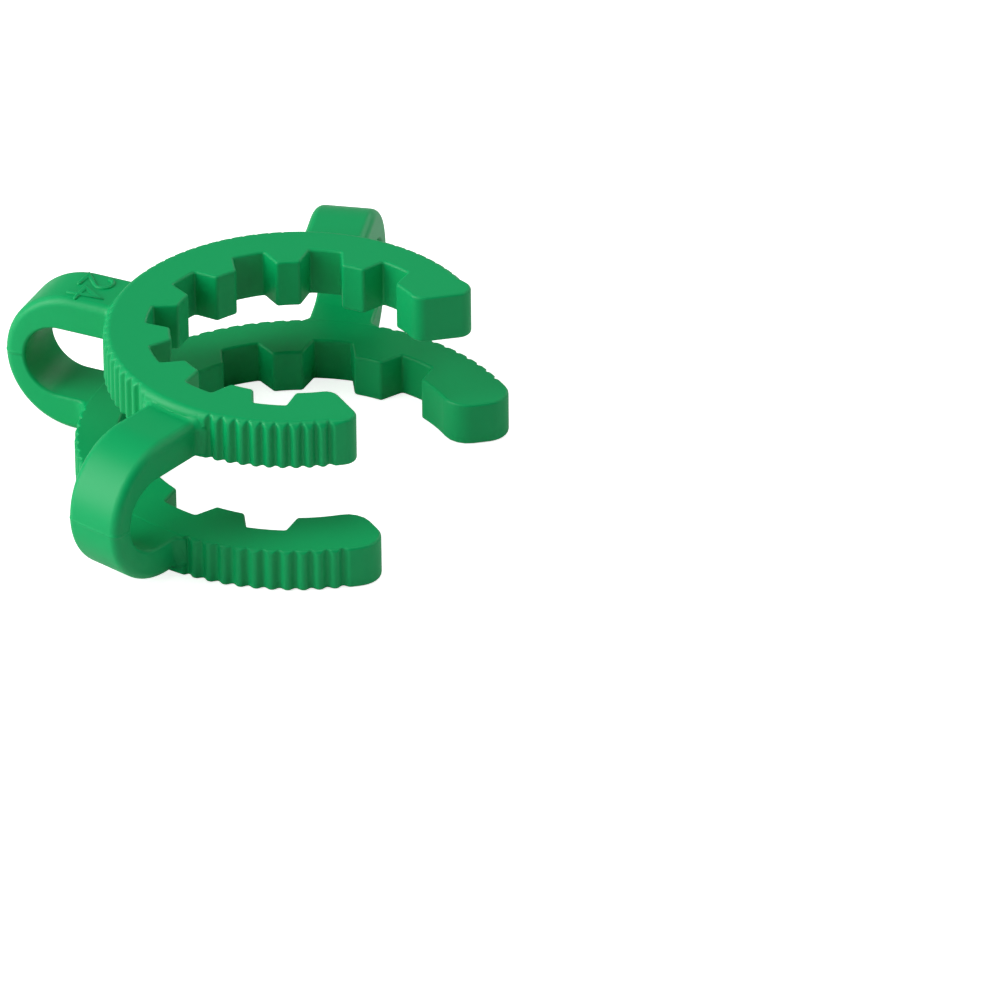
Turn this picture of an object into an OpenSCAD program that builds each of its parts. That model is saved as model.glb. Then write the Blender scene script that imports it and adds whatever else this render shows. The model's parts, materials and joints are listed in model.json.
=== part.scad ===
// A clip for a ground glass joint: one springy moulding that keeps a cone pushed home in its socket.
// Two open grips share one axis. The large one snaps round the socket, under its rim, and the small one
// snaps round the cone's tube, above its rim. Three arched springs outside join the grips and draw them
// together. The grips are toothed inside and ribbed outside, and one mouth, widening outwards, opens both.
// The springs, the outer walls and the corners in plan are rounded, as the mould leaves them.
//
// Frame: the clip stands on its large grip, on z = 0. Z is the axis of the grips and the mouth faces +X.
// Angles round the axis are measured from the middle of the mouth, and lengths are in millimetres.

/* [Joint] */
// Diameter across the teeth of the small grip, round the cone's tube
small_grip_d = 24; // [22:0.5:26]
// Diameter across the teeth of the large grip, round the socket
large_grip_d = 30; // [28:0.5:32]
// Clear height between the grips, where the rims of the joint sit
grip_gap = 6.9; // [5.5:0.1:8]

/* [Grip walls] */
// Height of the small grip
small_grip_h = 4.9; // [4:0.1:6]
// Height of the large grip
large_grip_h = 4.35; // [3.5:0.05:5]
// Thickness of the small grip at its tips, from the teeth to the crests of the ribs
small_wall_t = 6.05; // [5.5:0.05:6.5]
// Thickness of the large grip, from the teeth to the crests of the ribs
large_wall_t = 6.3; // [5.5:0.1:6.5]
// How far the small grip's outer wall is moved back, which thickens the grip opposite the mouth
small_wall_shift = 0.35; // [0:0.05:0.6]
// Rounding of the outer walls' top and bottom edges
grip_edge_r = 0.45; // [0.35:0.05:0.55]

/* [Teeth] */
// Number of teeth on each grip, besides the tips of its arms
tooth_count = 7; // [5:2:9]
// Depth of the notches between the teeth
notch_depth = 2.25; // [1.5:0.05:2.5]
// Share of the tooth pitch that the face of a tooth takes
tooth_share = 0.37; // [0.3:0.01:0.4]
// Share of the tooth pitch that the floor of a notch takes
notch_share = 0.41; // [0.35:0.01:0.45]
// Rounding of the teeth's corners
tooth_corner_r = 0.2; // [0.1:0.05:0.6]
// Rounding of the corners at the floor of a notch
notch_corner_r = 0.25; // [0.15:0.05:0.4]

/* [Mouth] */
// Angle of each side of the mouth from its middle
mouth_angle = 37; // [33:1:39]
// Distance from the axis to the line of each side of the small grip's mouth
small_mouth_offset = 2.4; // [1.8:0.1:3]
// Distance from the axis to the line of each side of the large grip's mouth
large_mouth_offset = 1.4; // [1:0.1:2.4]
// Rounding of the inner corners of the small grip's tips
small_tip_r = 1.4; // [1:0.1:1.8]
// Rounding of the outer corners of the small grip's tips
small_outer_tip_r = 1.3; // [0.8:0.1:2]
// Rounding of the inner corners of the large grip's tips
large_tip_r = 2.5; // [1.5:0.1:2.7]
// Rounding of the outer corners of the large grip's tips
large_outer_tip_r = 2.3; // [1:0.1:2.8]

/* [Finger ribs] */
// Number of ribs that a whole turn would hold
rib_count = 88; // [60:1:100]
// Height of a rib over the floors of the grooves beside it
rib_h = 0.3; // [0.15:0.05:0.4]
// Share of the rib pitch that a groove takes
groove_share = 0.7; // [0.5:0.05:0.8]
// Angle from the middle of the mouth to the small grip's first groove
small_plain_angle = 53.9; // [52:0.1:60]
// Angle from the middle of the mouth to the large grip's first groove
large_plain_angle = 53.4; // [52:0.1:60]

/* [Springs] */
// Angle from one spring to the next, the middle one being opposite the mouth
spring_pitch = 75; // [60:1:80]
// Width of a spring
spring_w = 6.2; // [5:0.1:7]
// How far the springs stand out past the large grip
spring_reach = 8.45; // [7.5:0.05:10]
// Thickness of a spring where it leaves the grips
spring_root_t = 3.55; // [3.05:0.1:3.95]
// Thickness of a spring at the middle of its arch
spring_mid_t = 2.2; // [1.8:0.1:2.8]
// Drop from the top of the small grip to the top of the springs
spring_drop = 1; // [0.6:0.1:1.6]
// Height of the underside of the springs
spring_lift = 0.75; // [0.5:0.05:1.2]
// Rounding of the springs' outer edges
spring_edge_r = 0.9; // [0.5:0.1:1.2]
// Rounding of the edges of the springs' windows
window_edge_r = 0.35; // [0.2:0.05:0.5]
// Rounding in plan of the corners where the springs' sides meet the grips
root_fillet_r = 0.7; // [0.5:0.1:1.5]

/* [Hidden] */

corner_steps = 3;            // flats in a quarter-round edge or corner
groove_steps = 4;            // flats across a groove
overlap = 0.03;              // how far a cutting outline runs past the faces that it cuts

small_r = small_grip_d / 2;
large_r = large_grip_d / 2;
small_crest_r = small_r + small_wall_t;
large_crest_r = large_r + large_wall_t;
small_grip_z = large_grip_h + grip_gap;
total_h = small_grip_z + small_grip_h;

tooth_pitch = 180 / (tooth_count - 1);
rib_pitch = 360 / rib_count;

// The outside of a spring is a half round of arch_r, and the window in it is a half round of window_r
arch_r = (total_h - spring_drop - spring_lift) / 2;
arch_z = spring_lift + arch_r;
arch_x = large_crest_r + spring_reach - arch_r;
window_r = arch_r - spring_root_t;
window_x = large_crest_r + spring_reach - spring_mid_t - window_r;

// The springs start halfway into the solid wall behind the notches
small_root_r = (small_r + notch_depth + small_crest_r) / 2;
large_root_r = (large_r + notch_depth + large_crest_r) / 2;

function polar(r, a) = [r * cos(a), r * sin(a)];
function bearing(p) = atan2(p[1], p[0]);
function mirrored(points) = [for (i = [len(points) - 1 : -1 : 0]) [points[i][0], -points[i][1]]];
function both_sides(half) = concat(mirrored(half), half);
function arc(centre, r, from, to, steps) =
    [for (i = [0 : steps]) centre + polar(r, from + (to - from) * i / steps)];
function all_but_last(points) = [for (i = [0 : len(points) - 2]) points[i]];

// Outline of a groove that crosses +X and opens outwards, between two ribs of a wall of radius crest_r
function groove(crest_r) =
    [for (i = [0 : groove_steps])
        let (across = i / groove_steps - 0.5, depth = rib_h * (1 + cos(360 * across)) / 2)
        polar(crest_r + overlap - depth * (1 + overlap / rib_h), across * groove_share * rib_pitch)];

// A straight side of a mouth or notch is [its angle, its distance from the axis]. This finds the centre of
// a corner's rounding: off the line of the side by off, and a distance r from a circle's centre
function corner_centre(side, off, centre, r) =
    let (along = polar(1, side[0]), start = polar(off, side[0] + 90) - centre, b = along * start)
    centre + start + (sqrt(b * b - start * start + r * r) - b) * along;

// The rounded corner between a side and the bore, ending inside the bore
function bore_corner(side, bore_r, r) =
    let (c = corner_centre(side, side[1] + r, [0, 0], bore_r + r))
    concat(all_but_last(arc(c, r, side[0] - 90, bearing(c) - 180, 2 * corner_steps)),
           [polar(bore_r - overlap, bearing(c))]);

// Half the outline of a mouth, from outside the clip to its axis
function half_mouth(side, bore_r, tip_r, wall_centre, crest_r, outer_tip_r) =
    let (c = corner_centre(side, side[1] + outer_tip_r, wall_centre, crest_r - outer_tip_r),
         out = bearing(c - wall_centre),
         round = arc(c, outer_tip_r, side[0] - 90, out, 2 * corner_steps))
    concat([wall_centre + polar(2 * crest_r, out), wall_centre + polar(crest_r + overlap, out)],
           [for (i = [len(round) - 2 : -1 : 0]) round[i]],
           bore_corner(side, bore_r, tip_r));

// Half the outline of a notch, from the corner at its floor to the bore: it narrows towards the floor
function half_notch(bore_r) =
    let (floor_r = bore_r + notch_depth,
         at_bore = polar(bore_r, tooth_pitch * (1 - tooth_share) / 2),
         at_floor = polar(floor_r, tooth_pitch * notch_share / 2),
         a = bearing(at_floor - at_bore),
         side = [a, at_bore * polar(1, a + 90)],
         c = corner_centre(side, side[1] - notch_corner_r, [0, 0], floor_r - notch_corner_r))
    concat(arc(c, notch_corner_r, bearing(c), a + 90, corner_steps),
           bore_corner(side, bore_r, tooth_corner_r));

// Section of a disc with rounded edges, from the axis out
function disc_section(r, h) =
    concat([[0, 0]], arc([r - grip_edge_r, grip_edge_r], grip_edge_r, -90, 0, corner_steps),
           arc([r - grip_edge_r, h - grip_edge_r], grip_edge_r, 0, 90, corner_steps), [[0, h]]);

// Plan of all that is cut out of a grip from top to bottom: the bore, the notches and the mouth
module opening(bore_r, crest_r, shift, mouth_offset, tip_r, outer_tip_r) {
    side = [mouth_angle, mouth_offset];
    circle(r = bore_r);
    for (i = [0 : tooth_count])
        rotate(90 + (i - 0.5) * tooth_pitch)
            polygon(both_sides(half_notch(bore_r)));
    polygon(concat(both_sides(half_mouth(side, bore_r, tip_r, [-shift, 0], crest_r, outer_tip_r)),
                   [[0, 0]]));
}

// Plan of the grooves between the ribs, from the first groove of either arm round to the back
module grooves(crest_r, plain) {
    for (side = [-1, 1], a = [plain : rib_pitch : 180 - rib_pitch / 2])
        rotate(side * a)
            polygon(groove(crest_r));
}

module grip(bore_r, crest_r, shift, h, plain, mouth_offset, tip_r, outer_tip_r) {
    difference() {
        translate([-shift, 0, 0])
            rotate_extrude()
                polygon(disc_section(crest_r, h));
        translate([0, 0, -overlap])
            linear_extrude(h + 2 * overlap) {
                opening(bore_r, crest_r, shift, mouth_offset, tip_r, outer_tip_r);
                translate([-shift, 0])
                    grooves(crest_r, plain);
            }
    }
}

// Half section of a spring, from the middle of its height out to its rounded edges
module solid_section() {
    e = spring_edge_r;
    y = spring_w / 2;
    polygon(concat([[0, -y]], arc([arch_r - e, e - y], e, -90, 0, corner_steps),
                   arc([arch_r - e, y - e], e, 0, 90, corner_steps), [[0, y]]));
}

// Half section of the window, which flares at both sides of the spring
module window_section() {
    e = window_edge_r;
    y = spring_w / 2;
    polygon(concat([[0, -y - e], [window_r + e, -y - e]],
                   arc([window_r + e, e - y], e, 270, 180, corner_steps),
                   arc([window_r + e, y - e], e, 180, 90, corner_steps),
                   [[window_r + e, y + e], [0, y + e]]));
}

// Children sweep a half round about the point x out from the axis, and run straight back to the two roots
module arched(x, upper_root, lower_root) {
    translate([x, 0, 0])
        rotate(-90)
            rotate_extrude(angle = 180)
                children();
    translate([upper_root, 0, 0])
        rotate([90, 0, 90])
            linear_extrude(x - upper_root)
                children();
    mirror([0, 1, 0])
        translate([lower_root, 0, 0])
            rotate([90, 0, 90])
                linear_extrude(x - lower_root)
                    children();
}

// Plan of the flared root of an arm, with a rounded corner between each of its sides and a grip's wall
function root_plan(crest_r, root_r) =
    let (y = spring_w / 2 + root_fillet_r - overlap,
         c = [sqrt(pow(crest_r + root_fillet_r, 2) - y * y), y],
         corner = arc(c, root_fillet_r, 270, 180 + bearing(c), 2 * corner_steps))
    both_sides(concat(corner, [[root_r, corner[len(corner) - 1][1]]]));

// The flare stands between the rounded edges of the arm
module root(crest_r, root_r, bottom) {
    translate([0, 0, bottom])
        linear_extrude(spring_root_t - spring_edge_r - window_edge_r - 2 * overlap)
            polygon(root_plan(crest_r, root_r));
}

module spring() {
    root(small_crest_r, small_root_r, arch_z + window_r + window_edge_r + overlap);
    root(large_crest_r, large_root_r, spring_lift + spring_edge_r + overlap);
    translate([0, 0, arch_z])
        rotate([90, 0, 0])
            difference() {
                arched(arch_x, small_root_r, large_root_r)
                    solid_section();
                arched(window_x, small_r, small_r)
                    window_section();
            }
}

module clip() {
    color("seagreen")
        union() {
            grip(large_r, large_crest_r, 0, large_grip_h, large_plain_angle,
                 large_mouth_offset, large_tip_r, large_outer_tip_r);
            translate([0, 0, small_grip_z])
                grip(small_r, small_crest_r, small_wall_shift, small_grip_h, small_plain_angle,
                     small_mouth_offset, small_tip_r, small_outer_tip_r);
            for (i = [-1 : 1])
                rotate(180 + i * spring_pitch)
                    spring();
        }
}

clip();
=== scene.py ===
"""The looks of a ground glass joint clip: one springy acetal moulding with two toothed, ribbed grips on
one axis, joined by three arched springs. Its mesh is built in millimetres and scaled to metres at the end.

The frame: Z is the axis of the grips, z = 0 is the underside of the large grip, which the clip stands on,
and the mouth of both grips faces +X. Angles round the axis are in degrees from the middle of the mouth.
"""

import json
import math
from dataclasses import dataclass

import bmesh
import bpy
from mathutils import Matrix, Vector

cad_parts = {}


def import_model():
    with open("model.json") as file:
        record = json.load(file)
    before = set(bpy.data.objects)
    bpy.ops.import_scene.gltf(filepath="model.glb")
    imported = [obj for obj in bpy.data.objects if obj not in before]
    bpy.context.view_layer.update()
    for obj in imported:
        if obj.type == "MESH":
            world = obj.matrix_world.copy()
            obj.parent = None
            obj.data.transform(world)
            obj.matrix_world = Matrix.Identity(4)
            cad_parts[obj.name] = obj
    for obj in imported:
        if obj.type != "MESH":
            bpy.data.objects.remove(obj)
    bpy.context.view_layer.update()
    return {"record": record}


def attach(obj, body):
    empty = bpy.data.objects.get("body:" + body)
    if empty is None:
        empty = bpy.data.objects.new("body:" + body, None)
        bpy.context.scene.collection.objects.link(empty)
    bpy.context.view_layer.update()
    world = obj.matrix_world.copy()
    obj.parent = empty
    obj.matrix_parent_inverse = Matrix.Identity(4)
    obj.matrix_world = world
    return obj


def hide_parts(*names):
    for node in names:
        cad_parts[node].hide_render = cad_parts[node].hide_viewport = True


MM = 0.001
AXIS = Vector((0, 0))  # of both grips, in plan

# Grips
SMALL_WALL_T = 6.05  # from the teeth to the crests of the ribs
LARGE_WALL_T = 6.3
SMALL_WALL_SHIFT = 0.35  # the small grip's outer wall is moved back by this
SMALL_TOP_EDGE_R = 0.8  # rounding of the ribbed wall's top edge
LARGE_TOP_EDGE_R = 0.4
BOTTOM_EDGE_R = 0.38  # rounding of the ribbed wall's bottom edge
PLAIN_EDGE_R = 0.28  # rounding of all the other top and bottom edges

# Teeth and notches
TOOTH_COUNT = 7
TOOTH_PITCH = 180 / (TOOTH_COUNT - 1)
NOTCH_DEPTH = 2.25  # out from the bore
TOOTH_SHARE = 0.36  # of the tooth pitch, at the bore
NOTCH_SHARE = 0.41  # of the tooth pitch, at the notch's floor
TOOTH_CORNER_R = 0.4  # more than PLAIN_EDGE_R, or the rounded edges cross themselves
NOTCH_CORNER_R = 0.25

# Mouth
MOUTH_ANGLE = 37  # of each side's line to the middle of the mouth
SMALL_MOUTH_OFFSET = 2.4  # from the axis to the line of each side
LARGE_MOUTH_OFFSET = 1.4
SMALL_TIP_R = 1.4  # inner corners of the tips
LARGE_TIP_R = 2.5
SMALL_OUTER_TIP_R = 1.3
LARGE_OUTER_TIP_R = 2.3

# Finger ribs
RIB_COUNT = 88  # that a whole turn would hold
RIB_PITCH = 360 / RIB_COUNT
RIB_H = 0.38  # over the floors of the grooves beside it
GROOVE_SHARE = 0.9  # of the rib pitch
SMALL_PLAIN_ANGLE = 53.9  # from the middle of the mouth to the first groove
LARGE_PLAIN_ANGLE = 53.4
SMALL_RUN_OUT = (-0.2, 0.75)  # below the small grip's top: where a groove starts, and where it is full
LARGE_RUN_OUT = (-0.3, 0.42)
RIB_FADE_FROM = 3.1  # along the wall from the middle of a spring: no grooves before this
RIB_FADE_TO = 3.9  # and full grooves from here
EDGE_REACH = 1.01  # of the top edge's rounding: how deep from the crests the wall is pressed in

# Springs
SPRING_PITCH = 75
SPRING_ANGLES = [180 + i * SPRING_PITCH for i in (-1, 0, 1)]
SPRING_W = 6.2
SPRING_REACH = 8.36  # out past the large grip
SPRING_ROOT_T = 3.55  # thickness of the arms
SPRING_MID_T = 2.2  # thickness at the middle of the arch
SPRING_DROP = 1.0  # from the top of the small grip
SPRING_LIFT = 0.75  # from the underside of the large grip
SPRING_EDGE_R = 0.9  # rounding of the long outer edges
WINDOW_EDGE_R = 0.35  # rounding of the window's edges
ROOT_SIDE_R = 0.7  # rounding of the corners where the springs' sides meet the grips
ROOT_TOP_R = 0.4  # the same on top of the small grip's roots
ROOT_UNDER_R = 0.35  # and under the roots of both grips
SEAM_H = 0.05  # the mould's parting line, raised across each spring
SEAM_W = 0.4
SEAM_FULLNESS = 0.7  # power of the seam's flanks, under 1 to round them outwards

# The number on the middle spring
DIGIT_HALF_W = 0.22  # half the width of a stroke
DIGIT_RISE = 0.2  # over the spring's top
DIGIT_SINK = 0.2  # how far a stroke reaches down into the spring
NUMBER_FOOT = 23.25  # from the axis to the feet of the digits
TWO_BOWL = ((-1.07, 2.35), 0.88, 165, -38)  # centre, radius, first and last angle
TWO_FOOT = ((-2.0, 0.3), (-0.15, 0.2))
FOUR = ((2.42, 1.06), (0.26, 1.06), (1.5, 3.02), (1.75, 0.02))

# Fineness of the mesh
CORNER_STEPS = 4  # flats in a rounded corner
RIB_STEPS = 14  # points along one rib pitch
EDGE_STEPS = 6  # flats in the rounded top and bottom edges of a grip
WALL_STEP = 1.0  # degrees between points along the teeth
ARCH_STEPS = 48
SEAM_STEPS = 4  # from the seam's crest to each of its feet
ARM_STEP = 0.25
STROKE_END_TURNS = (80, 60, 30)  # degrees from the side of a stroke's round end to its tip


@dataclass(frozen=True)
class Grip:
    """One open grip. Its bore is across its teeth. Its mouth_offset is from the axis to each side's line."""

    bore_r: float
    wall_t: float
    shift: float
    top: float
    height: float
    mouth_offset: float
    tip_r: float
    outer_tip_r: float
    plain_angle: float
    top_edge_r: float
    run_out: tuple

    @property
    def crest_r(self):
        return self.bore_r + self.wall_t

    @property
    def wall_centre(self):
        return Vector((-self.shift, 0))

    @property
    def bottom(self):
        return self.top - self.height

    @property
    def root_r(self):
        """Where a spring starts, inside the solid wall behind the notches."""
        return (self.bore_r + NOTCH_DEPTH + self.crest_r) / 2


def grips_from(record):
    """The small and the large grip, with the bores, heights and places of the frame's mounts."""
    mounts = {mount["name"]: mount for mount in record["mounts"]}
    small, large = mounts["small_grip"], mounts["large_grip"]
    small_grip = Grip(
        bore_r=small["dims"]["r_mm"],
        wall_t=SMALL_WALL_T,
        shift=SMALL_WALL_SHIFT,
        top=small["pos_m"][2] / MM,
        height=small["dims"]["length_mm"],
        mouth_offset=SMALL_MOUTH_OFFSET,
        tip_r=SMALL_TIP_R,
        outer_tip_r=SMALL_OUTER_TIP_R,
        plain_angle=SMALL_PLAIN_ANGLE,
        top_edge_r=SMALL_TOP_EDGE_R,
        run_out=SMALL_RUN_OUT,
    )
    large_grip = Grip(
        bore_r=large["dims"]["r_mm"],
        wall_t=LARGE_WALL_T,
        shift=0,
        top=large["pos_m"][2] / MM + large["dims"]["length_mm"],
        height=large["dims"]["length_mm"],
        mouth_offset=LARGE_MOUTH_OFFSET,
        tip_r=LARGE_TIP_R,
        outer_tip_r=LARGE_OUTER_TIP_R,
        plain_angle=LARGE_PLAIN_ANGLE,
        top_edge_r=LARGE_TOP_EDGE_R,
        run_out=LARGE_RUN_OUT,
    )
    return small_grip, large_grip


# ---------------------------------------------------------------- plan outlines


def polar(r, angle):
    return Vector((r * math.cos(math.radians(angle)), r * math.sin(math.radians(angle))))


def bearing(point):
    return math.degrees(math.atan2(point.y, point.x))


def turned(points, angle):
    turn = Matrix.Rotation(math.radians(angle), 2)
    return [turn @ point for point in points]


def mirrored(points):
    """The points' mirror images across X, in the opposite order."""
    return [Vector((point.x, -point.y)) for point in reversed(points)]


def arc(centre, r, start, end, steps):
    return [centre + polar(r, start + (end - start) * i / steps) for i in range(steps + 1)]


def arc_by(step, r, start, end, centre=AXIS):
    """An arc without its two ends, with points about step degrees apart."""
    steps = max(2, math.ceil(abs(end - start) / step))
    return arc(centre, r, start, end, steps)[1:-1]


def corner_centre(angle, off, centre, r):
    """The centre of a corner's rounding: off the line through the axis at angle, and r from centre."""
    along = polar(1, angle)
    start = polar(off, angle + 90) - centre
    b = along.dot(start)
    return centre + start + along * (math.sqrt(b * b - start.dot(start) + r * r) - b)


def bore_corner(angle, offset, bore_r, r):
    """The rounded corner between the bore and a side, from the bore on."""
    centre = corner_centre(angle, offset + r, AXIS, bore_r + r)
    return arc(centre, r, bearing(centre) - 180, angle - 90, CORNER_STEPS)


def notch(grip):
    """A notch's outline on +X, anticlockwise, from the bore out to its floor and back."""
    floor_r = grip.bore_r + NOTCH_DEPTH
    at_bore = polar(grip.bore_r, TOOTH_PITCH * (1 - TOOTH_SHARE) / 2)
    at_floor = polar(floor_r, TOOTH_PITCH * NOTCH_SHARE / 2)
    angle = bearing(at_floor - at_bore)
    offset = at_bore.dot(polar(1, angle + 90))
    centre = corner_centre(angle, offset - NOTCH_CORNER_R, AXIS, floor_r - NOTCH_CORNER_R)
    floor_corner = arc(centre, NOTCH_CORNER_R, angle + 90, bearing(centre), CORNER_STEPS)
    half = bore_corner(angle, offset, grip.bore_r, TOOTH_CORNER_R) + floor_corner
    floor = arc_by(WALL_STEP, floor_r, -bearing(centre), bearing(centre))
    return mirrored(half[::-1]) + floor + half[::-1]


def tip(grip):
    """The tip on +Y: its rounded inner corner, from the bore on, and its rounded outer corner."""
    inner = bore_corner(MOUTH_ANGLE, grip.mouth_offset, grip.bore_r, grip.tip_r)
    outer_off = grip.mouth_offset + grip.outer_tip_r
    centre = corner_centre(MOUTH_ANGLE, outer_off, grip.wall_centre, grip.crest_r - grip.outer_tip_r)
    end = bearing(centre - grip.wall_centre)
    return inner + arc(centre, grip.outer_tip_r, MOUTH_ANGLE - 90, end, 2 * CORNER_STEPS)


def grip_outline(grip):
    """The whole outline of a grip without its ribs, anticlockwise."""
    half = [polar(grip.bore_r, 180)]
    end = 180.0
    for i in range((TOOTH_COUNT + 1) // 2):
        cut = turned(notch(grip), 180 - (i + 0.5) * TOOTH_PITCH)[::-1]
        half += arc_by(WALL_STEP, grip.bore_r, end, bearing(cut[0])) + cut
        end = bearing(cut[-1])
    front = tip(grip)
    half += arc_by(WALL_STEP, grip.bore_r, end, bearing(front[0])) + front
    wall_start = bearing(front[-1] - grip.wall_centre)
    half += arc_by(RIB_PITCH / RIB_STEPS, grip.crest_r, wall_start, 180, grip.wall_centre)
    half.append(grip.wall_centre + polar(grip.crest_r, 180))
    return half + mirrored(half)[1:-1]


def inward_normals(outline):
    """The inward shift of each point that moves a closed anticlockwise outline inwards by one."""
    normals = []
    for i, point in enumerate(outline):
        before = (point - outline[i - 1]).normalized()
        after = (outline[(i + 1) % len(outline)] - point).normalized()
        inward = Vector((-before.y - after.y, before.x + after.x))
        normals.append(inward / (1 + before.dot(after)))
    return normals


def ribbed_share(point, grip):
    """1 on the ribbed part of a grip's outer wall and 0 on its other faces, with a soft change between."""
    place = point - grip.wall_centre
    depth = grip.crest_r - place.length
    past_plain = (abs(bearing(place)) - grip.plain_angle + RIB_PITCH) / RIB_PITCH
    return min(max(1 - depth / grip.outer_tip_r, 0), min(max(past_plain, 0), 1))


# ---------------------------------------------------------------- meshes


def new_mesh(name, bm):
    bmesh.ops.recalc_face_normals(bm, faces=bm.faces)
    mesh = bpy.data.meshes.new(name)
    bm.to_mesh(mesh)
    bm.free()
    obj = bpy.data.objects.new(name, mesh)
    bpy.context.scene.collection.objects.link(obj)
    return obj


def loft(name, loops):
    """A closed solid through loops of points that have the same count, with a flat cap at each end."""
    bm = bmesh.new()
    rings = [[bm.verts.new(point) for point in loop] for loop in loops]
    for low, high in zip(rings, rings[1:]):
        for i in range(len(low)):
            bm.faces.new((low[i - 1], low[i], high[i], high[i - 1]))
    bm.faces.new(rings[0][::-1])
    bm.faces.new(rings[-1])
    return new_mesh(name, bm)


def grip_solid(name, grip):
    """A grip with rounded top and bottom edges and a plain outer wall."""
    outline = grip_outline(grip)
    normals = inward_normals(outline)
    shares = [ribbed_share(point, grip) for point in outline]
    turns = [math.radians(90 * i / EDGE_STEPS) for i in range(EDGE_STEPS + 1)]
    levels = [(grip.bottom, BOTTOM_EDGE_R, 1, turn) for turn in turns]
    levels += [(grip.top, grip.top_edge_r, -1, turn) for turn in reversed(turns)]
    loops = []
    for z, ribbed_r, up, turn in levels:
        loop = []
        for point, normal, share in zip(outline, normals, shares):
            r = PLAIN_EDGE_R + (ribbed_r - PLAIN_EDGE_R) * share
            place = point + normal * (r * (1 - math.sin(turn)))
            loop.append((place.x, place.y, z + up * r * (1 - math.cos(turn))))
        loops.append(loop)
    return loft(name, loops)


# ---------------------------------------------------------------- springs


def spring_line(small, large):
    """Stations along a spring from its upper root to its lower one: (outer point, inner point, seam height).

    Points are (distance from the axis, height). The outside is a half round and so is the window, and the
    arms run straight from both to the grips.
    """
    reach = large.crest_r + SPRING_REACH
    arch_r = (small.top - SPRING_DROP - SPRING_LIFT) / 2
    window_r = arch_r - SPRING_ROOT_T
    arch = Vector((reach - arch_r, SPRING_LIFT + arch_r))
    window = Vector((reach - SPRING_MID_T - window_r, arch.y))

    def arm(root_x, side):
        steps = math.ceil((arch.x - root_x) / ARM_STEP)
        for i in range(steps):
            t = i / steps
            outer = Vector((root_x + (arch.x - root_x) * t, arch.y + side * arch_r))
            inner = Vector((root_x + (window.x - root_x) * t, arch.y + side * window_r))
            yield outer, inner, 0

    seam_half = math.degrees(SEAM_W / 2 / arch_r)
    bearings = {90 - 180 * i / ARCH_STEPS for i in range(ARCH_STEPS + 1)}
    bearings |= {seam_half * i / SEAM_STEPS for i in range(-SEAM_STEPS, SEAM_STEPS + 1)}
    stations = list(arm(small.root_r, 1))
    for angle in sorted(bearings, reverse=True):
        seam = SEAM_H * max(0, 1 - abs(angle) / seam_half) ** SEAM_FULLNESS
        stations.append((arch + polar(arch_r, angle), window + polar(window_r, angle), seam))
    return stations + list(arm(large.root_r, -1))[::-1]


def section(thickness):
    """A spring's rounded section, anticlockwise: (across, up from the inner face) and outward normal."""
    across = SPRING_W / 2
    corners = (
        (Vector((across - WINDOW_EDGE_R, WINDOW_EDGE_R)), WINDOW_EDGE_R, -90),
        (Vector((across - SPRING_EDGE_R, thickness - SPRING_EDGE_R)), SPRING_EDGE_R, 0),
        (Vector((SPRING_EDGE_R - across, thickness - SPRING_EDGE_R)), SPRING_EDGE_R, 90),
        (Vector((WINDOW_EDGE_R - across, WINDOW_EDGE_R)), WINDOW_EDGE_R, 180),
    )
    points = []
    for centre, r, start in corners:
        for i in range(2 * CORNER_STEPS + 1):
            normal = polar(1, start + 90 * i / (2 * CORNER_STEPS))
            points.append((centre + normal * r, normal))
    return points


def swell(distance, r):
    """How far a skin swells to round the corner with a wall a distance away."""
    if r <= 0:
        return 0
    gap = r - min(max(distance, 0), r)
    return r - math.sqrt(r * r - gap * gap)


def face_rounding(on_small, normal):
    """The rounding between a grip and a spring's face. The window's face meets the large grip sharply."""
    if on_small:
        return ROOT_TOP_R if normal.y > 0 else ROOT_UNDER_R
    return 0 if normal.y < 0 else ROOT_UNDER_R


def spring_loop(station, turn, grip, on_small):
    """A spring's section in place, swollen by its roundings at the grip and by the seam."""
    outer, inner, seam = station
    axis = (outer - inner).normalized()
    loop = []
    for (across, up), normal in section((outer - inner).length):
        place = turn @ Vector((inner.x + axis.x * up, across, inner.y + axis.y * up))
        distance = (place.xy - grip.wall_centre).length - grip.crest_r
        ridge = seam if normal.y >= 0 else 0
        sideways = normal.x * (swell(distance, ROOT_SIDE_R) + ridge)
        outwards = normal.y * (swell(distance, face_rounding(on_small, normal)) + ridge)
        loop.append(place + turn @ Vector((axis.x * outwards, sideways, axis.y * outwards)))
    return loop


def spring_solid(name, angle, small, large):
    """One arched spring, at its angle round the axis."""
    turn = Matrix.Rotation(math.radians(angle), 3, "Z")
    middle = (small.top - SPRING_DROP + SPRING_LIFT) / 2
    loops = []
    for station in spring_line(small, large):
        on_small = station[0].y > middle
        loops.append(spring_loop(station, turn, small if on_small else large, on_small))
    return loft(name, loops)


# ---------------------------------------------------------------- the number


def digit_lines():
    """Centre lines of 2 and 4 as seen from the axis: (right, up) from the middle of the number's foot."""
    centre, r, start, end = TWO_BOWL
    bowl = arc(Vector(centre), r, start, end, 3 * CORNER_STEPS)
    return bowl + [Vector(point) for point in TWO_FOOT], [Vector(point) for point in FOUR]


def stroke_stations(line):
    """Stations along a stroke's centre line: (point, direction to the left, size), small at both ends."""
    steps = [(after - before).normalized() for before, after in zip(line, line[1:])]
    turns = [math.radians(turn) for turn in STROKE_END_TURNS]
    ends = [(math.cos(turn), DIGIT_HALF_W * math.sin(turn)) for turn in turns]
    stations = [(line[0] - steps[0] * reach, steps[0], size) for size, reach in ends]
    for point, before, after in zip(line, [steps[0], *steps], [*steps, steps[-1]]):
        stations.append((point, (before + after) / (1 + before.dot(after)), 1))
    stations += [(line[-1] + steps[-1] * reach, steps[-1], size) for size, reach in ends[::-1]]
    return [(point, Vector((-ahead.y, ahead.x)), size) for point, ahead, size in stations]


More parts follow.
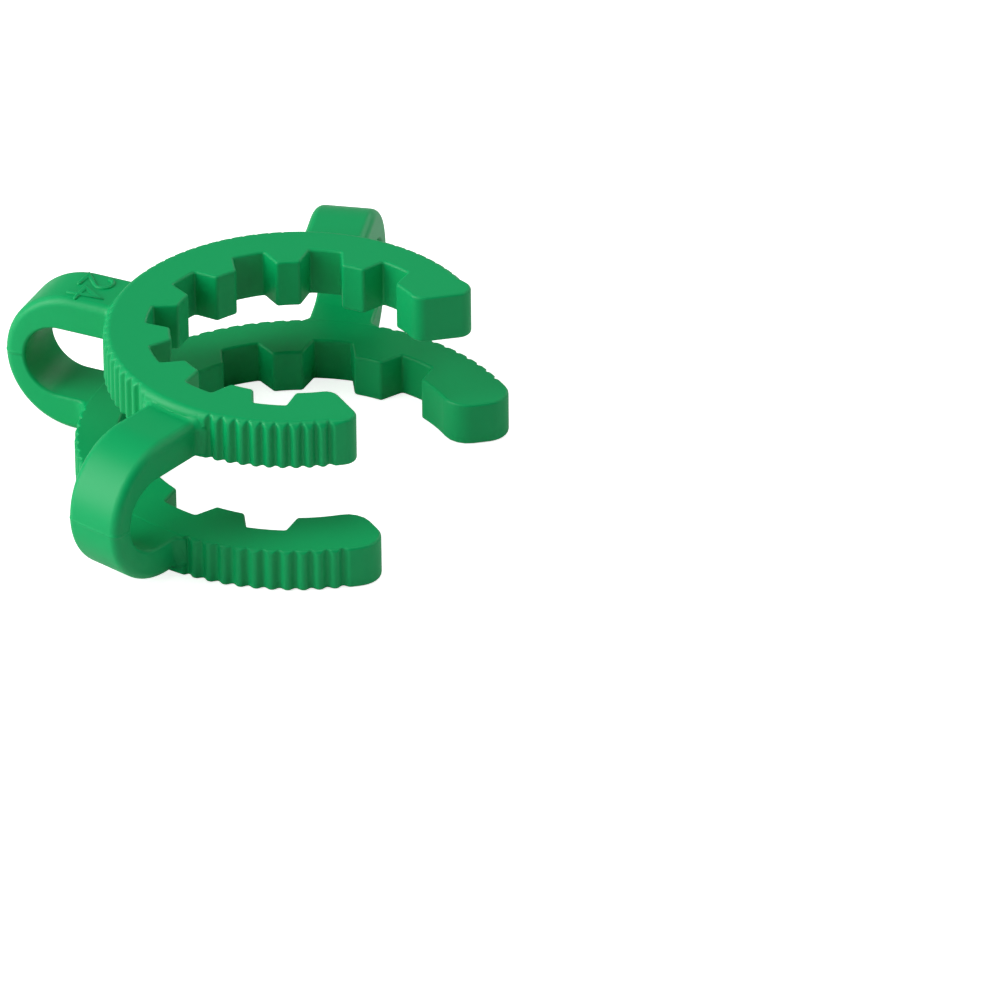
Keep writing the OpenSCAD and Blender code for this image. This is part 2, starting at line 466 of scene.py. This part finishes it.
def stroke_solid(name, line, base_z):
    """A raised stroke, round across, along a centre line of (x, y) points."""
    turns = [math.radians(180 * i / (2 * CORNER_STEPS)) for i in range(2 * CORNER_STEPS + 1)]
    crown = [(DIGIT_HALF_W * math.cos(turn), DIGIT_RISE * math.sin(turn)) for turn in turns]
    loops = []
    for point, left, size in stroke_stations(line):
        profile = [(u * size, v * size) for u, v in crown]
        profile += [(-DIGIT_HALF_W * size, -DIGIT_SINK), (DIGIT_HALF_W * size, -DIGIT_SINK)]
        loops.append([(point.x + left.x * u, point.y + left.y * u, base_z + v) for u, v in profile])
    return loft(name, loops)


def number_solids(small):
    """The raised number, which reads from the grip's axis outwards on the middle spring's top."""
    top = small.top - SPRING_DROP
    for i, line in enumerate(digit_lines()):
        placed = [Vector((point.y - NUMBER_FOOT, -point.x)) for point in line]
        yield stroke_solid(f"digit_{i}", placed, top)


# ---------------------------------------------------------------- ribs


def add_node(tree, kind, inputs=(), **settings):
    """Adds a node, sets its properties and fills its inputs with values or other nodes' output sockets."""
    node = tree.nodes.new(kind)
    for key, value in settings.items():
        setattr(node, key, value)
    for socket, value in dict(inputs).items():
        if isinstance(value, bpy.types.NodeSocket):
            tree.links.new(value, node.inputs[socket])
        else:
            node.inputs[socket].default_value = value
    return node


def maths(tree, operation, *values):
    return add_node(tree, "ShaderNodeMath", dict(enumerate(values)), operation=operation).outputs[0]


# The node group's inputs and their defaults, in millimetres and radians
RIB_INPUTS = {
    "Wall Centre": 0.0,
    "Crest Radius": 20.0,
    "Groove Depth": 0.3,
    "Groove Share": 0.7,
    "Ribs Per Turn": 88.0,
    "First Groove": 0.9,
    "Grip Top": 4.0,
    "Edge Radius": 0.5,
    "Run-out From": 0.0,
    "Run-out To": 0.5,
    "Side Spring": 1.8,
    "Fade From": 3.0,
    "Fade To": 4.0,
}


def smooth_step(tree, value, start, end):
    """Rises from 0 at the start to 1 at the end, smoothly."""
    inputs = {"Value": value, "From Min": start, "From Max": end}
    return add_node(tree, "ShaderNodeMapRange", inputs, interpolation_type="SMOOTHSTEP").outputs["Result"]


def rib_sockets(tree):
    """Adds the node group's inputs and its output, and returns the sockets of the inputs."""
    tree.interface.new_socket("Geometry", in_out="INPUT", socket_type="NodeSocketGeometry")
    tree.interface.new_socket("Geometry", in_out="OUTPUT", socket_type="NodeSocketGeometry")
    for name, value in RIB_INPUTS.items():
        socket = tree.interface.new_socket(name, in_out="INPUT", socket_type="NodeSocketFloat")
        socket.default_value = value
    tree.interface.new_socket("Material", in_out="INPUT", socket_type="NodeSocketMaterial")
    return tree.nodes.new("NodeGroupInput").outputs


def groove_wave(tree, given, angle):
    """Across a groove: 1 on its centre line and 0 from its sides on. None comes before the first."""
    past_first = maths(tree, "SUBTRACT", angle, given["First Groove"])
    turns = maths(tree, "MULTIPLY", past_first, given["Ribs Per Turn"])
    pitches = maths(tree, "MAXIMUM", maths(tree, "DIVIDE", turns, 2 * math.pi), -0.5)
    off_centre = maths(tree, "PINGPONG", pitches, 0.5)
    across = maths(tree, "MINIMUM", maths(tree, "DIVIDE", off_centre, given["Groove Share"]), 0.5)
    cosine = maths(tree, "COSINE", maths(tree, "MULTIPLY", across, 2 * math.pi))
    return maths(tree, "MULTIPLY_ADD", cosine, 0.5, 0.5)


def groove_fullness(tree, given, angle, z):
    """1 where a groove is full and 0 where it has run out, round the top edge and beside the springs."""
    down = maths(tree, "SUBTRACT", given["Grip Top"], z)
    begun = smooth_step(tree, down, given["Run-out From"], given["Run-out To"])
    to_side = maths(tree, "ABSOLUTE", maths(tree, "SUBTRACT", angle, given["Side Spring"]))
    to_middle = maths(tree, "SUBTRACT", math.pi, angle)
    to_spring = maths(tree, "MINIMUM", to_side, to_middle)
    along_wall = maths(tree, "MULTIPLY", to_spring, given["Crest Radius"])
    clear = smooth_step(tree, along_wall, given["Fade From"], given["Fade To"])
    return maths(tree, "MULTIPLY", begun, clear)


def rib_tree():
    """Geometry nodes that press the grooves between finger ribs into a grip's outer wall."""
    tree = bpy.data.node_groups.new("finger_ribs", "GeometryNodeTree")
    given = rib_sockets(tree)
    position = tree.nodes.new("GeometryNodeInputPosition").outputs[0]
    place = add_node(tree, "ShaderNodeSeparateXYZ", {0: position}).outputs
    x = maths(tree, "SUBTRACT", place["X"], given["Wall Centre"])
    flat = add_node(tree, "ShaderNodeCombineXYZ", {"X": x, "Y": place["Y"]}).outputs[0]
    radius = add_node(tree, "ShaderNodeVectorMath", {0: flat}, operation="LENGTH").outputs["Value"]
    angle = maths(tree, "ARCTAN2", maths(tree, "ABSOLUTE", place["Y"]), x)

    # A groove that runs out gets shallower and narrower
    wave = groove_wave(tree, given, angle)
    missing = maths(tree, "SUBTRACT", groove_fullness(tree, given, angle, place["Z"]), 1.0)
    depth = maths(tree, "MULTIPLY", maths(tree, "ADD", wave, missing), given["Groove Depth"])

    # Only the outer wall is pressed in
    reach = maths(tree, "MULTIPLY", given["Edge Radius"], EDGE_REACH)
    on_wall = maths(tree, "GREATER_THAN", radius, maths(tree, "SUBTRACT", given["Crest Radius"], reach))
    pressed = maths(tree, "MULTIPLY", maths(tree, "MAXIMUM", depth, 0.0), on_wall)
    share = maths(tree, "DIVIDE", maths(tree, "MULTIPLY", pressed, -1.0), radius)
    push = add_node(tree, "ShaderNodeVectorMath", {0: flat, "Scale": share}, operation="SCALE").outputs[0]
    moved = add_node(tree, "GeometryNodeSetPosition", {"Geometry": given["Geometry"], "Offset": push})
    inputs = {"Geometry": moved.outputs[0], "Material": given["Material"]}
    dressed = add_node(tree, "GeometryNodeSetMaterial", inputs)
    tree.links.new(dressed.outputs[0], tree.nodes.new("NodeGroupOutput").inputs["Geometry"])
    return tree


def rib(obj, grip, tree, material):
    """Gives a grip its finger ribs."""
    values = {
        "Wall Centre": -grip.shift,
        "Crest Radius": grip.crest_r,
        "Groove Depth": RIB_H,
        "Groove Share": GROOVE_SHARE,
        "Ribs Per Turn": RIB_COUNT,
        "First Groove": math.radians(grip.plain_angle),
        "Grip Top": grip.top,
        "Edge Radius": grip.top_edge_r,
        "Run-out From": grip.run_out[0],
        "Run-out To": grip.run_out[1],
        "Side Spring": math.radians(180 - SPRING_PITCH),
        "Fade From": RIB_FADE_FROM,
        "Fade To": RIB_FADE_TO,
        "Material": material,
    }
    modifier = obj.modifiers.new("ribs", "NODES")
    modifier.node_group = tree
    for item in tree.interface.items_tree:
        if item.in_out == "INPUT" and item.name in values:
            value = values[item.name]
            modifier[item.identifier] = value if item.name == "Material" else float(value)
    bake(obj)


def bake(obj):
    """Replaces an object's mesh by what its modifiers make of it."""
    depsgraph = bpy.context.evaluated_depsgraph_get()
    depsgraph.update()
    mesh = bpy.data.meshes.new_from_object(obj.evaluated_get(depsgraph), depsgraph=depsgraph)
    obj.modifiers.clear()
    obj.data = mesh


def fuse(body, parts):
    """Joins overlapping solids to the body as one skin."""
    for part in parts:
        modifier = body.modifiers.new("join", "BOOLEAN")
        modifier.operation = "UNION"
        modifier.solver = "MANIFOLD"
        modifier.object = part
    bake(body)
    for part in parts:
        bpy.data.objects.remove(part)


def add_shells(body, parts):
    """Adds solids to the body's mesh as shells of their own, which stand out of its skin."""
    bm = bmesh.new()
    bm.from_mesh(body.data)
    for part in parts:
        bm.from_mesh(part.data)
        bpy.data.objects.remove(part)
    bm.to_mesh(body.data)
    bm.free()


NORMAL_WEIGHT = 80  # per cent: how much the larger faces bend the shading at rounded edges


def make_clip(record, material):
    """The whole clip as one closed skin."""
    small, large = grips_from(record)
    tree = rib_tree()
    body = grip_solid("clip_body", large)
    upper = grip_solid("upper_grip", small)
    rib(body, large, tree, material)
    rib(upper, small, tree, material)
    springs = []
    for i, angle in enumerate(SPRING_ANGLES):
        springs.append(spring_solid(f"spring_{i}", angle, small, large))
    fuse(body, [upper, *springs])
    add_shells(body, number_solids(small))
    body.data.transform(Matrix.Scale(MM, 4))
    body.data.shade_smooth()
    normals = body.modifiers.new("normals", "WEIGHTED_NORMAL")
    normals.weight = NORMAL_WEIGHT
    bake(body)
    body.data.materials.clear()
    body.data.materials.append(material)
    return body


# ---------------------------------------------------------------- material


ACETAL_GREEN = "#02A45D"
ACETAL_ROUGHNESS = 0.42
ACETAL_IOR = 1.48
ACETAL_SPECULAR = 0.25
GRAIN_SCALE = 4000.0  # grains per metre
GRAIN_DETAIL = 2.0
GRAIN_STRENGTH = 0.15
GRAIN_H = 0.00002  # metres


def linear(hex_colour):
    """An sRGB hex colour as the linear values that Blender takes."""
    channels = [int(hex_colour[i : i + 2], 16) / 255 for i in (1, 3, 5)]
    return (*[c / 12.92 if c <= 0.04045 else ((c + 0.055) / 1.055) ** 2.4 for c in channels], 1.0)


def moulded_acetal():
    """Green acetal as it leaves the mould: satin, with a fine even grain."""
    material = bpy.data.materials.new("moulded_acetal")
    material.use_nodes = True
    tree = material.node_tree
    shader = tree.nodes["Principled BSDF"]
    shader.inputs["Base Color"].default_value = linear(ACETAL_GREEN)
    shader.inputs["Roughness"].default_value = ACETAL_ROUGHNESS
    shader.inputs["IOR"].default_value = ACETAL_IOR
    shader.inputs["Specular IOR Level"].default_value = ACETAL_SPECULAR
    place = tree.nodes.new("ShaderNodeTexCoord").outputs["Object"]
    pattern = {"Vector": place, "Scale": GRAIN_SCALE, "Detail": GRAIN_DETAIL}
    grain = add_node(tree, "ShaderNodeTexNoise", pattern).outputs[0]
    relief = {"Strength": GRAIN_STRENGTH, "Distance": GRAIN_H, "Height": grain}
    bump = add_node(tree, "ShaderNodeBump", relief)
    tree.links.new(bump.outputs[0], shader.inputs["Normal"])
    return material


# ---------------------------------------------------------------- stage, light and camera

VIEW_AZIMUTH = 25.007  # the camera looks this far round from +Y towards -X
VIEW_DROP = 31.571  # and this far down
VIEW_ROLL = -0.459
VIEW_TARGET = Vector((19.30, 3.23, 0))
VIEW_DISTANCE = 1112.0
VIEW_LENS = 424.6
VIEW_SENSOR = 36.0
VIEW_CLIP_END = 10  # metres
LIGHT_TARGET = Vector((0, 0, 0.008))  # the middle of the clip
SOFTBOX_SIZE = (0.35, 0.35)
FILL_STRENGTH = 0.02  # of the world, for all but the camera
WHITE = (1, 1, 1, 1)
TABLE_REACH = 3  # metres from the axis to each side of the table
TABLE_GAP = 0.00002  # metres between the clip's underside and the table, so that the two don't flicker
TABLE_COLOUR = (0.8, 0.8, 0.8, 1)
TABLE_GLOW = 0.8  # for the camera only, so that the table shows white and keeps a faint shadow

# Softboxes round the clip: (right, near, up) from it in metres, and watts
SOFTBOXES = {
    "key_low": ((-0.6, 0.1, 0.12), 2.4),
    "key_high": ((-0.45, 0.1, 0.4), 1.95),
    "back_left": ((-0.4, -0.45, 0.3), 0.33),
    "back": ((0, -0.6, 0.25), 0.12),
    "overhead": ((0, 0, 0.65), 0.72),
    "near_left": ((-0.4, 0.5, 0.25), 0.75),
    "right": ((0.6, 0, 0.25), 0.6),
    "right_high": ((0.4, 0, 0.5), 0.55),
    "back_right": ((0.35, -0.5, 0.3), 0.85),
}


def camera_axes():
    """The view's right, up and backward directions."""
    azimuth, drop = math.radians(VIEW_AZIMUTH), math.radians(VIEW_DROP)
    level = math.cos(drop)
    forward = Vector((-math.sin(azimuth) * level, math.cos(azimuth) * level, -math.sin(drop)))
    right = Vector((math.cos(azimuth), math.sin(azimuth), 0))
    axes = Matrix((right, right.cross(forward), -forward)).transposed()
    return axes @ Matrix.Rotation(math.radians(VIEW_ROLL), 3, "Z")


def make_camera():
    data = bpy.data.cameras.new("camera")
    data.sensor_width = VIEW_SENSOR
    data.lens = VIEW_LENS
    data.clip_end = VIEW_CLIP_END
    camera = bpy.data.objects.new("camera", data)
    bpy.context.scene.collection.objects.link(camera)
    axes = camera_axes()
    place = (VIEW_TARGET + axes.col[2] * VIEW_DISTANCE) * MM
    camera.matrix_world = Matrix.Translation(place) @ axes.to_4x4()
    bpy.context.scene.camera = camera


def area_light(name, place, power):
    """A softbox that faces the clip."""
    data = bpy.data.lights.new(name, "AREA")
    data.shape = "RECTANGLE"
    data.size, data.size_y = SOFTBOX_SIZE
    data.energy = power
    light = bpy.data.objects.new(name, data)
    bpy.context.scene.collection.objects.link(light)
    aim = (LIGHT_TARGET - place).to_track_quat("-Z", "Y").to_matrix().to_4x4()
    light.matrix_world = Matrix.Translation(place) @ aim


def make_lights():
    """Softboxes set out as the camera sees the clip, the strongest on its left."""
    axes = camera_axes()
    right = Vector((axes.col[0].x, axes.col[0].y, 0)).normalized()
    near = Vector((axes.col[2].x, axes.col[2].y, 0)).normalized()
    for name, (place, power) in SOFTBOXES.items():
        area_light(name, right * place[0] + near * place[1] + Vector((0, 0, place[2])), power)


def make_world():
    """White for the camera and soft white light for everything else."""
    world = bpy.data.worlds.new("studio")
    bpy.context.scene.world = world
    world.use_nodes = True
    tree = world.node_tree
    seen = tree.nodes.new("ShaderNodeLightPath").outputs["Is Camera Ray"]
    strengths = {"Factor": seen, "A": FILL_STRENGTH, "B": 1.0}
    strength = add_node(tree, "ShaderNodeMix", strengths, data_type="FLOAT").outputs[0]
    background = tree.nodes["Background"]
    background.inputs["Color"].default_value = WHITE
    tree.links.new(strength, background.inputs["Strength"])


def make_floor():
    """A white table that keeps a faint shadow."""
    bm = bmesh.new()
    place = Matrix.Translation((0, 0, -TABLE_GAP))
    bmesh.ops.create_grid(bm, x_segments=1, y_segments=1, size=TABLE_REACH, matrix=place)
    floor = new_mesh("floor", bm)
    material = bpy.data.materials.new("white_table")
    material.use_nodes = True
    tree = material.node_tree
    tree.nodes.clear()
    seen = tree.nodes.new("ShaderNodeLightPath").outputs["Is Camera Ray"]
    diffuse = add_node(tree, "ShaderNodeBsdfDiffuse", {"Color": TABLE_COLOUR}).outputs[0]
    glow = add_node(tree, "ShaderNodeEmission", {"Color": WHITE, "Strength": TABLE_GLOW}).outputs[0]
    lit = add_node(tree, "ShaderNodeAddShader", {0: diffuse, 1: glow}).outputs[0]
    mixed = add_node(tree, "ShaderNodeMixShader", {0: seen, 1: diffuse, 2: lit}).outputs[0]
    tree.links.new(mixed, tree.nodes.new("ShaderNodeOutputMaterial").inputs["Surface"])
    floor.data.materials.append(material)


def main():
    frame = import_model()
    clip = make_clip(frame["record"], moulded_acetal())
    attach(clip, "root")
    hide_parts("clip")
    make_floor()
    make_world()
    make_lights()
    make_camera()
    bpy.context.scene.view_settings.view_transform = "Standard"


main()
